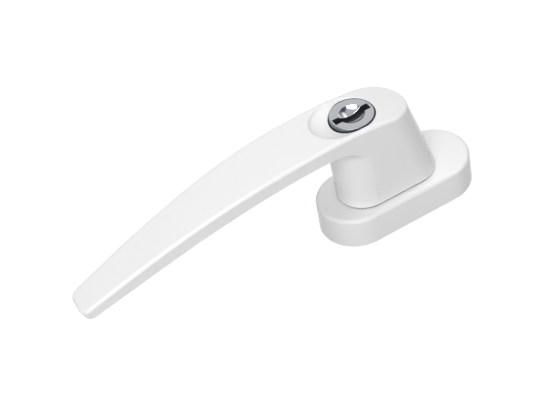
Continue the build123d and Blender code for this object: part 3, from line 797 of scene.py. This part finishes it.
def makePlateScrews():
    # They point up, with the faces of their heads in the plane of the sash
    tree, given, result = newShapeGroup("plateScrews", plateScrew)
    threaded = blend(tree, "SUBTRACT", given["Screw Length"], given["Thread Start"])
    thread = placeShape(tree, threadedRod, Outer_Radius=given["Outer Radius"],
                        Root_Radius=given["Root Radius"], Tip_Radius=given["Tip Radius"],
                        Pitch=given["Pitch"], Length=threaded)
    tipLevel = blend(tree, "MULTIPLY", given["Screw Length"], -1.0)
    thread = moved(tree, thread, Translation=combined(tree, Z=tipLevel))
    head = placeShape(tree, sunkHead, Head_Radius=given["Head Radius"],
                      Shank_Radius=given["Shank Radius"], Rim_Height=given["Rim Height"],
                      Cross_Length=given["Cross Length"], Cross_Width=given["Cross Width"],
                      Cross_Depth=given["Cross Depth"])
    upright = moved(tree, joined(tree, head, thread), Rotation=(pi, 0, 0))
    pair = screwPair(tree, given, upright, 0.0)
    finishTree(tree, pair, result, finishes["plated_steel"])
    return tree


growPiece("plateScrewsThreaded", makePlateScrews(), plateScrew,
          "plate_screws", "rosette")

grubScrew = {
    "Level": 26.0 * mm,
    "Inner End": 3.5 * mm,
    "Screw Length": 7.4 * mm,
    "Tip Radius": 1.5 * mm,
    "Socket Width": 2.5 * mm,
    "Socket Depth": 2.4 * mm,
    "Mouth Radius": 1.75 * mm,
    "Mouth Floor": 1.25 * mm,
    "Mouth Height": 0.5 * mm,
    "Mouth Sink": 0.3 * mm,
    "Mouth Sides": 32,
}


def makeGrubScrew():
    tree, given, result = newShapeGroup("grubScrew", grubScrew)
    thread = placeShape(tree, threadedRod, Length=given["Screw Length"],
                        Tip_Radius=given["Tip Radius"])
    corner = blend(tree, "MULTIPLY", given["Socket Width"], 0.5 / cos(pi / 6))
    socket = addNode(tree, "GeometryNodeMeshCylinder", Vertices=6, Radius=corner,
                     Depth=blend(tree, "MULTIPLY", given["Socket Depth"], 2.0))
    socketPlace = combined(tree, Z=given["Screw Length"])
    mouth = addNode(tree, "GeometryNodeMeshCone", Vertices=given["Mouth Sides"],
                    Radius_Top=given["Mouth Radius"], Radius_Bottom=given["Mouth Floor"],
                    Depth=given["Mouth Height"])
    mouthLevel = blend(tree, "SUBTRACT", given["Screw Length"], given["Mouth Sink"])
    drilled = cut(tree, thread, moved(tree, socket.outputs["Mesh"], Translation=socketPlace),
                  moved(tree, mouth.outputs["Mesh"], Translation=combined(tree, Z=mouthLevel)))
    place = combined(tree, Y=given["Inner End"], Z=given["Level"])
    laid = moved(tree, drilled, Translation=place, Rotation=(-pi / 2, 0, 0))
    finishTree(tree, laid, result, finishes["black_steel"])
    return tree


growPiece("grubScrewThreaded", makeGrubScrew(), grubScrew, "grub_screw", "handle")

waferSpring = {
    "Coil Radius": 0.38 * mm,
    "Wire Radius": 0.07 * mm,
    "Spring Length": 3.0 * mm,
    "Turns": 8.0,
    "Steps Each Turn": 20,
    "Wire Sides": 10,
    "Springs": 5,
    "Wafer Step": 1.55 * mm,
    "First X": -13.5 * mm,
    "First Y": 3.3 * mm,
    "First Z": 41.3 * mm,
    "Seed": 4,
}


def makeWaferSprings():
    tree, given, result = newShapeGroup("waferSprings", waferSpring)
    wireWidth = blend(tree, "MULTIPLY", given["Wire Radius"], 2.0)
    line = addNode(tree, "GeometryNodeCurveSpiral", Resolution=given["Steps Each Turn"],
                   Rotations=given["Turns"], Start_Radius=given["Coil Radius"],
                   End_Radius=given["Coil Radius"],
                   Height=blend(tree, "SUBTRACT", given["Spring Length"], wireWidth))
    wire = addNode(tree, "GeometryNodeCurvePrimitiveCircle", Resolution=given["Wire Sides"],
                   Radius=given["Wire Radius"])
    coil = addNode(tree, "GeometryNodeCurveToMesh", Curve=line.outputs[0],
                   Profile_Curve=wire.outputs[0], Fill_Caps=True)
    coil = moved(tree, coil.outputs[0], Rotation=(0, -pi / 2, 0))
    first = combined(tree, X=blend(tree, "SUBTRACT", given["First X"], given["Wire Radius"]),
                     Y=given["First Y"], Z=given["First Z"])
    # Socket 3 is the highest value of a random number, and output 1 gives it
    spin = addNode(tree, "FunctionNodeRandomValue", {"data_type": "FLOAT"}, i3=2 * pi,
                   Seed=given["Seed"]).outputs[1]
    row = instancedRow(tree, coil, given["Springs"], first,
                       combined(tree, Z=given["Wafer Step"]), combined(tree, X=spin))
    finishTree(tree, row, result, finishes["spring_steel"])
    return tree


growPiece("waferSpringCoils", makeWaferSprings(), waferSpring,
          "wafer_springs", "plug", smoothAngle=60)


# Floor, which stands for the plane of the sash, and soft studio light

stage = {
    "floorSize": 12.0,
    "lightColour": (0.38, 0.38, 0.38),  # for light that bounces off it
    "seenColour": (0.2, 0.2, 0.2),
    "seenGlow": 0.86,
}


def makeFloor(stage):
    # Camera and mirrors see it near white, a view from below sees through it
    bpy.ops.mesh.primitive_plane_add(size=stage["floorSize"])
    floor = bpy.context.object
    floor.name = "floor"
    material = bpy.data.materials.new("paleFloor")
    material.use_nodes = True
    tree = material.node_tree
    tree.nodes.clear()
    path = tree.nodes.new("ShaderNodeLightPath").outputs
    mirrored = blend(tree, "MAXIMUM", path["Is Glossy Ray"], path["Is Transmission Ray"])
    seen = blend(tree, "MAXIMUM", path["Is Camera Ray"], mirrored)
    lit = addNode(tree, "ShaderNodeBsdfDiffuse", Color=(*stage["lightColour"], 1))
    glow = addNode(tree, "ShaderNodeEmission", Strength=stage["seenGlow"])
    weak = addNode(tree, "ShaderNodeBsdfDiffuse", Color=(*stage["seenColour"], 1))
    white = addNode(tree, "ShaderNodeAddShader", i0=glow.outputs[0], i1=weak.outputs[0])
    shown = addNode(tree, "ShaderNodeMixShader", i0=seen, i1=lit.outputs[0], i2=white.outputs[0])
    clear = addNode(tree, "ShaderNodeBsdfTransparent")
    below = tree.nodes.new("ShaderNodeNewGeometry").outputs["Backfacing"]
    final = addNode(tree, "ShaderNodeMixShader", i0=below, i1=shown.outputs[0], i2=clear.outputs[0])
    output = tree.nodes.new("ShaderNodeOutputMaterial")
    tree.links.new(final.outputs[0], output.inputs["Surface"])
    floor.data.materials.append(material)


softboxes = {
    "overheadBox": {"direction": (0.14, 0.14, 0.98), "power": 3.6, "mirrored": False},
    "keyBox": {"direction": (-0.3, -0.5, 0.81), "power": 2.6, "size": (0.32, 0.32),
               "mirrored": False},
    "keyGleam": {"direction": (-0.4, -0.44, 0.8), "power": 10.0, "size": (1.3, 0.5), "lit": False},
    "rightBox": {"direction": (0.66, 0.05, 0.72), "power": 0.5, "size": (0.62, 0.32)},
    "frontLeftBox": {"direction": (-0.5, -0.77, 0.38), "power": 4.6},
    "frontBox": {"direction": (0.0, -0.92, 0.38), "power": 0.6},
}
softboxDistance = 1.1
litPoint = Vector((-0.04, 0, 0.03))


def addSoftbox(name, direction, power, size=(0.6, 0.6), mirrored=True, lit=True):
    # A box that isn't mirrored shows in no reflection; one that isn't lit shows in nothing else
    place = litPoint + Vector(direction).normalized() * softboxDistance
    data = bpy.data.lights.new(name, "AREA")
    data.shape = "RECTANGLE"
    data.size, data.size_y = size
    data.energy = power
    lamp = bpy.data.objects.new(name, data)
    lamp.location = place
    lamp.rotation_euler = (place - litPoint).to_track_quat("Z", "Y").to_euler()
    lamp.visible_glossy = mirrored
    lamp.visible_diffuse = lit
    scene.collection.objects.link(lamp)


room = {
    "below": 0.8,
    "belowEdge": (-0.02, 0.0),
    "horizonFill": 0.05,
    "horizonSeen": 1.0,
    "horizonEdge": (0.12, 0.28),
    "cornerTurn": pi / 4,
    "cornerFalloff": 4.0,
    "backRight": 0.66,
    "frontLeft": 0.49,
    "ceiling": 0.5,
    "ceilingEdge": (0.75, 0.9),
}


def makeWorld(room):
    # A studio: white at the horizon, dark walls with two light corners, and a grey ceiling
    world = bpy.data.worlds.new("studio")
    world.use_nodes = True
    tree = world.node_tree
    direction = tree.nodes.new("ShaderNodeTexCoord").outputs["Generated"]
    parts = separated(tree, direction)
    above = remap(tree, parts["Z"], *room["horizonEdge"])
    ceiling = remap(tree, parts["Z"], *room["ceilingEdge"])
    turn = blend(tree, "ARCTAN2", parts["Y"], parts["X"])
    swing = blend(tree, "COSINE", blend(tree, "SUBTRACT", turn, room["cornerTurn"]))
    swing = blend(tree, "MULTIPLY", swing, 0.5)
    corners = []
    for side, kind in (("backRight", "ADD"), ("frontLeft", "SUBTRACT")):
        glow = blend(tree, "POWER", blend(tree, kind, 0.5, swing), room["cornerFalloff"])
        corners.append(blend(tree, "MULTIPLY", glow, room[side]))
    walls = blend(tree, "ADD", *corners)
    upper = remap(tree, ceiling, 0.0, 1.0, walls, room["ceiling"], "LINEAR")
    path = tree.nodes.new("ShaderNodeLightPath").outputs
    mirrored = blend(tree, "MAXIMUM", path["Is Glossy Ray"], path["Is Transmission Ray"])
    seen = blend(tree, "MAXIMUM", path["Is Camera Ray"], mirrored)
    low = remap(tree, parts["Z"], *room["belowEdge"], room["below"], room["horizonFill"], "LINEAR")
    horizon = remap(tree, seen, 0.0, 1.0, low, room["horizonSeen"], "LINEAR")
    studio = remap(tree, above, 0.0, 1.0, horizon, upper, "LINEAR")
    level = remap(tree, path["Is Camera Ray"], 0.0, 1.0, studio, 1.0, "LINEAR")
    tree.links.new(level, tree.nodes["Background"].inputs["Color"])
    scene.world = world


makeFloor(stage)
makeWorld(room)
for name, softbox in softboxes.items():
    addSoftbox(name, **softbox)
scene.view_settings.view_transform = "Standard"
print("stage and lights set")
